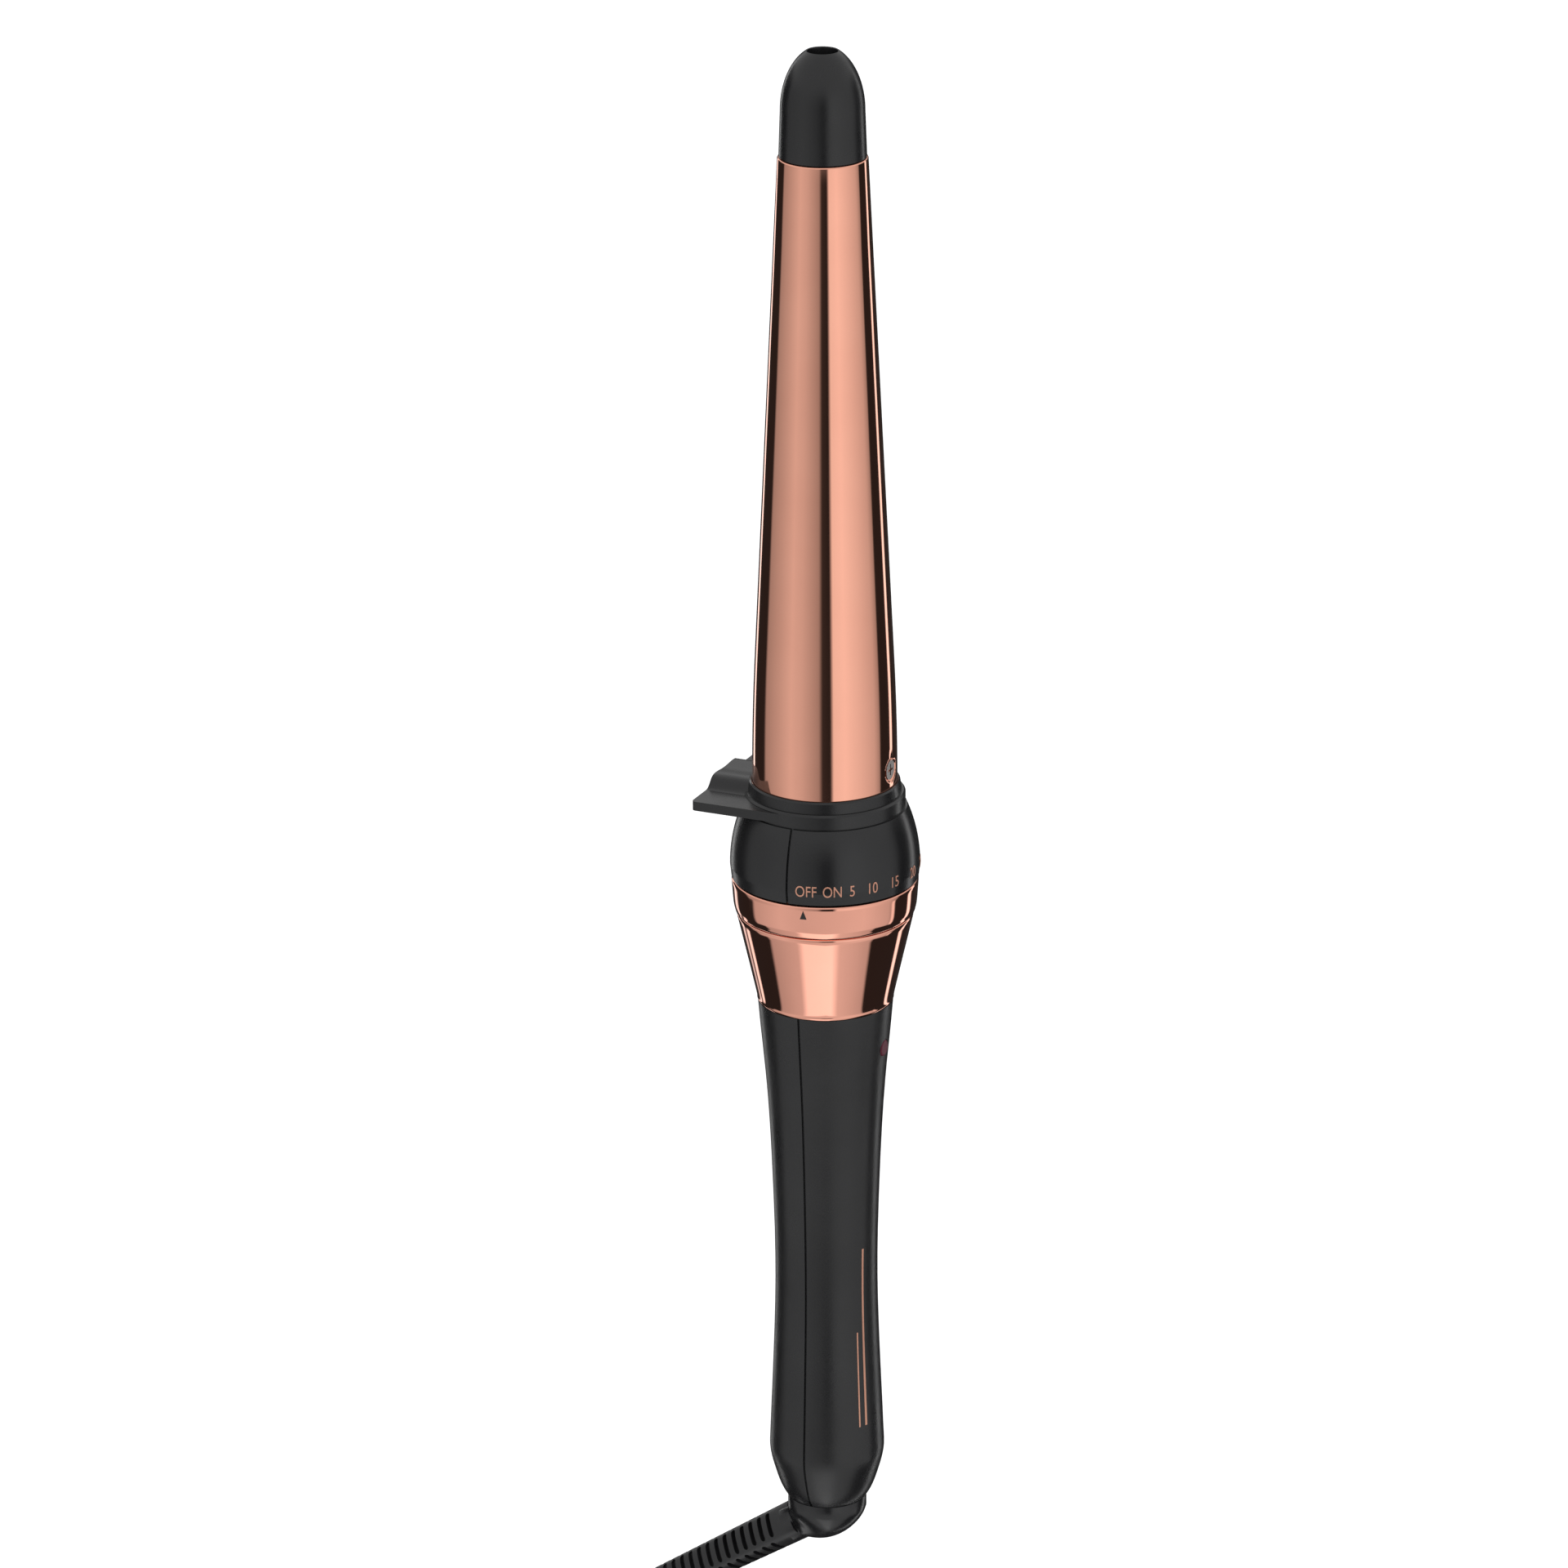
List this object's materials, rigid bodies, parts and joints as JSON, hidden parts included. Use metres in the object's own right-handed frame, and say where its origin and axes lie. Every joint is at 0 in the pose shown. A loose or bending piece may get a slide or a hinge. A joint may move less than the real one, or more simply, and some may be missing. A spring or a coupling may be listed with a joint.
{
  "type": "curling wand",
  "caption": "Tapered curling wand with a rose-gold barrel, cool tip, stand collar, turning heat dial, waisted handle and a swivel mains cord folded into a hank.",
  "frame": {"origin": "middle of the grip, on the wand's axis at the waist of the handle", "axes": "+Z along the wand towards the cool tip, +X the front with the power light, -X the side of the stand fin, +Y to the left of the front"},
  "size_m": [0.1033, 0.042, 0.6413],
  "materials": {
    "rose_gold_barrel": "mirror-polished rose-gold coating",
    "rose_gold_trim": "plated rose-gold plastic",
    "black_heatproof": "satin black heat-resistant plastic",
    "black_case": "satin black moulded plastic",
    "soft_grip": "black soft-touch paint over plastic",
    "black_rubber": "black flexible vinyl",
    "lens_red": "dark red translucent plastic",
    "screw_steel": "zinc-plated steel",
    "heater_aluminium": "extruded",
    "ceramic": "dark ceramic",
    "seat_plastic": "natural heat-resistant plastic",
    "insulation": "insulating sheet and felt",
    "contact_brass": "plain brass",
    "circuit_board": "green glass-fibre board",
    "component_black": "moulded epoxy",
    "wire_sleeve": "silicone insulation",
    "tie_black": "hook-and-loop strap"
  },
  "bodies": {
    "root": {"barrel": "rose_gold_barrel", "cool_tip": "black_heatproof", "stand_collar": "black_heatproof", "head_front_shell": "black_case", "head_rear_shell": "black_case", "ferrule": "rose_gold_trim", "handle_front_shell": "soft_grip", "handle_rear_shell": "soft_grip", "tip_screw": "screw_steel", "tip_bracket": "screw_steel", "barrel_screws": "screw_steel", "barrel_seat": "seat_plastic", "mica_disc": "insulation", "heater_shoe_front": "heater_aluminium", "heater_shoe_rear": "heater_aluminium", "ptc_element": "ceramic", "electrode_plates": "contact_brass", "insulating_film": "insulation", "heater_springs": "screw_steel", "thermistor": "component_black", "thermal_fuse": "component_black", "heater_leads": "wire_sleeve", "sensor_leads": "wire_sleeve", "felt_washer": "insulation", "pot_body": "seat_plastic", "dial_board": "circuit_board", "dial_leads": "wire_sleeve", "control_board": "circuit_board", "indicator_lens": "lens_red", "indicator_led": "lens_red", "triac": "component_black", "film_capacitor": "component_black", "controller_chip": "component_black", "board_terminals": "seat_plastic", "handle_screws": "screw_steel", "mains_leads": "wire_sleeve", "brush_holder": "seat_plastic", "centre_brush": "contact_brass", "ring_brush": "contact_brass"},
    "dial": {"dial_ring": "rose_gold_trim"},
    "pinion": {"pot_pinion": "seat_plastic", "pot_shaft": "contact_brass"},
    "swivel": {"swivel_elbow": "soft_grip", "swivel_stem": "seat_plastic", "contact_pin": "contact_brass", "contact_ring": "contact_brass", "strain_relief": "black_rubber", "power_cord": "black_rubber", "cord_hank": "black_rubber", "cord_tie": "tie_black", "cord_tail": "black_rubber", "plug_body": "black_rubber", "plug_blades": "contact_brass"}
  },
  "joints": [
    {"name": "dial_turn", "type": "hinge", "parent": "root", "child": "dial", "pos_m": [0, 0, 0.0904], "axis": [0, 0, 1], "range_deg": [0, 98]},
    {"name": "pinion_spin", "type": "hinge", "parent": "root", "child": "pinion", "pos_m": [-0.012, 0, 0.08945], "axis": [0, 0, 1], "range_deg": [0, 310]},
    {"name": "cord_swivel", "type": "hinge", "parent": "root", "child": "swivel", "pos_m": [0, 0, -0.0562], "axis": [0, 0, 1], "continuous": true}
  ],
  "couplings": [
    {"joint": "pinion_spin", "follows": "dial_turn", "ratio": 3.1429}
  ]
}
